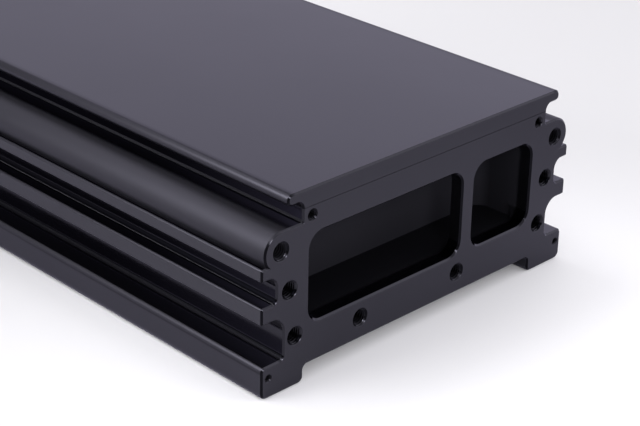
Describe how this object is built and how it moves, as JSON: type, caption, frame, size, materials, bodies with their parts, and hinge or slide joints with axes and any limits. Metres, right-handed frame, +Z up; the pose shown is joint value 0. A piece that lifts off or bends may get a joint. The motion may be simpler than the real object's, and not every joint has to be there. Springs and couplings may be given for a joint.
{
  "type": "aluminium enclosure",
  "caption": "Long black anodised aluminium enclosure with finned sides, a flat lipped cover, foot rails, and end walls with windows and tapped holes.",
  "frame": {"origin": "centre of the footprint, on the plane of the feet's soles", "axes": "+X across the fins, +Y along the body towards the rear end, +Z up through the cover; the pictured end face looks towards -Y"},
  "size_m": [0.12, 0.2, 0.0552],
  "materials": {
    "anodised_body": "black anodised, fine bead-blasted satin, with fine milling lines on the fins' outer faces",
    "anodised_cover": "black anodised, fine bead-blasted satin",
    "black_screws": "black oxide"
  },
  "bodies": {
    "root": {"housing_body": "anodised_body", "top_cover": "anodised_cover", "cover_screws": "black_screws"}
  },
  "joints": []
}
